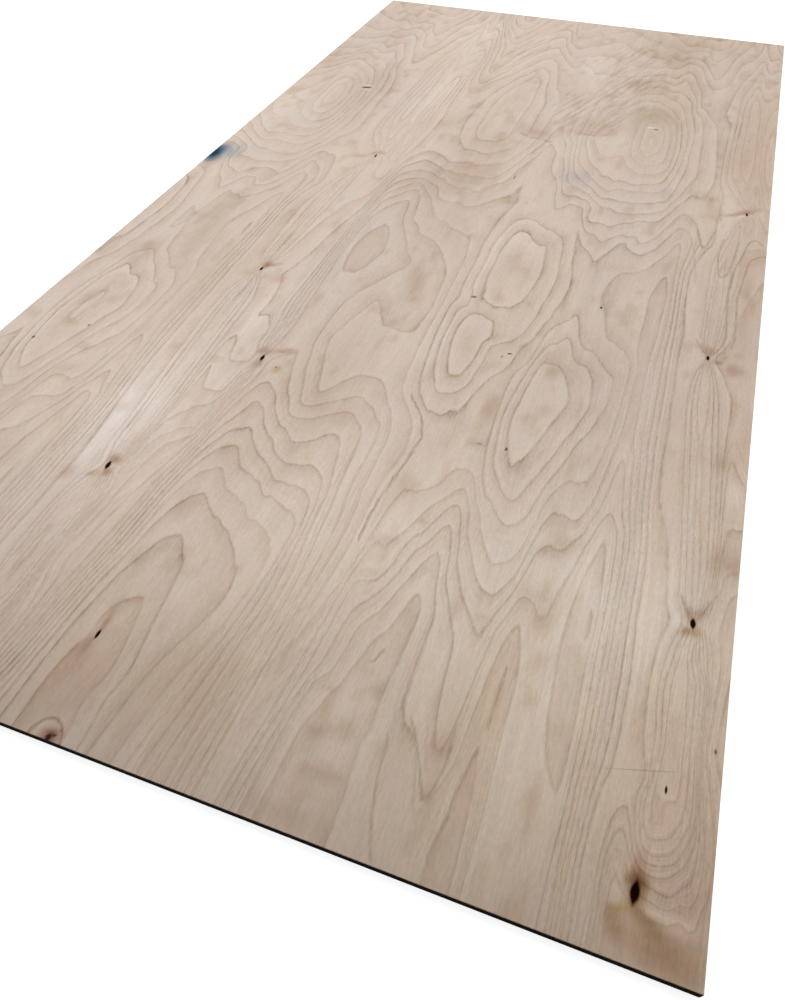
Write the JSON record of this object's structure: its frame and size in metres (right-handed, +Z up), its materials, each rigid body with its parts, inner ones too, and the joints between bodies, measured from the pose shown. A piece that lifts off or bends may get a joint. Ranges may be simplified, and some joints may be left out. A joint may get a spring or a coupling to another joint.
{
  "type": "plywood sheet",
  "caption": "Flat rectangular sheet of birch plywood with small pointed knot holes in its face and eased edges.",
  "frame": {"origin": "middle of the underside", "axes": "+Z up out of the face veneer, +Y along the sheet with the face grain to the far end, +X across the sheet to the right edge"},
  "size_m": [1.22, 2.44, 0.015],
  "materials": {
    "birch_plywood": "rotary-peeled birch veneer, sanded and unfinished, dull, with dark sawn edges"
  },
  "bodies": {
    "root": {"plywood_sheet": "birch_plywood"}
  },
  "joints": []
}
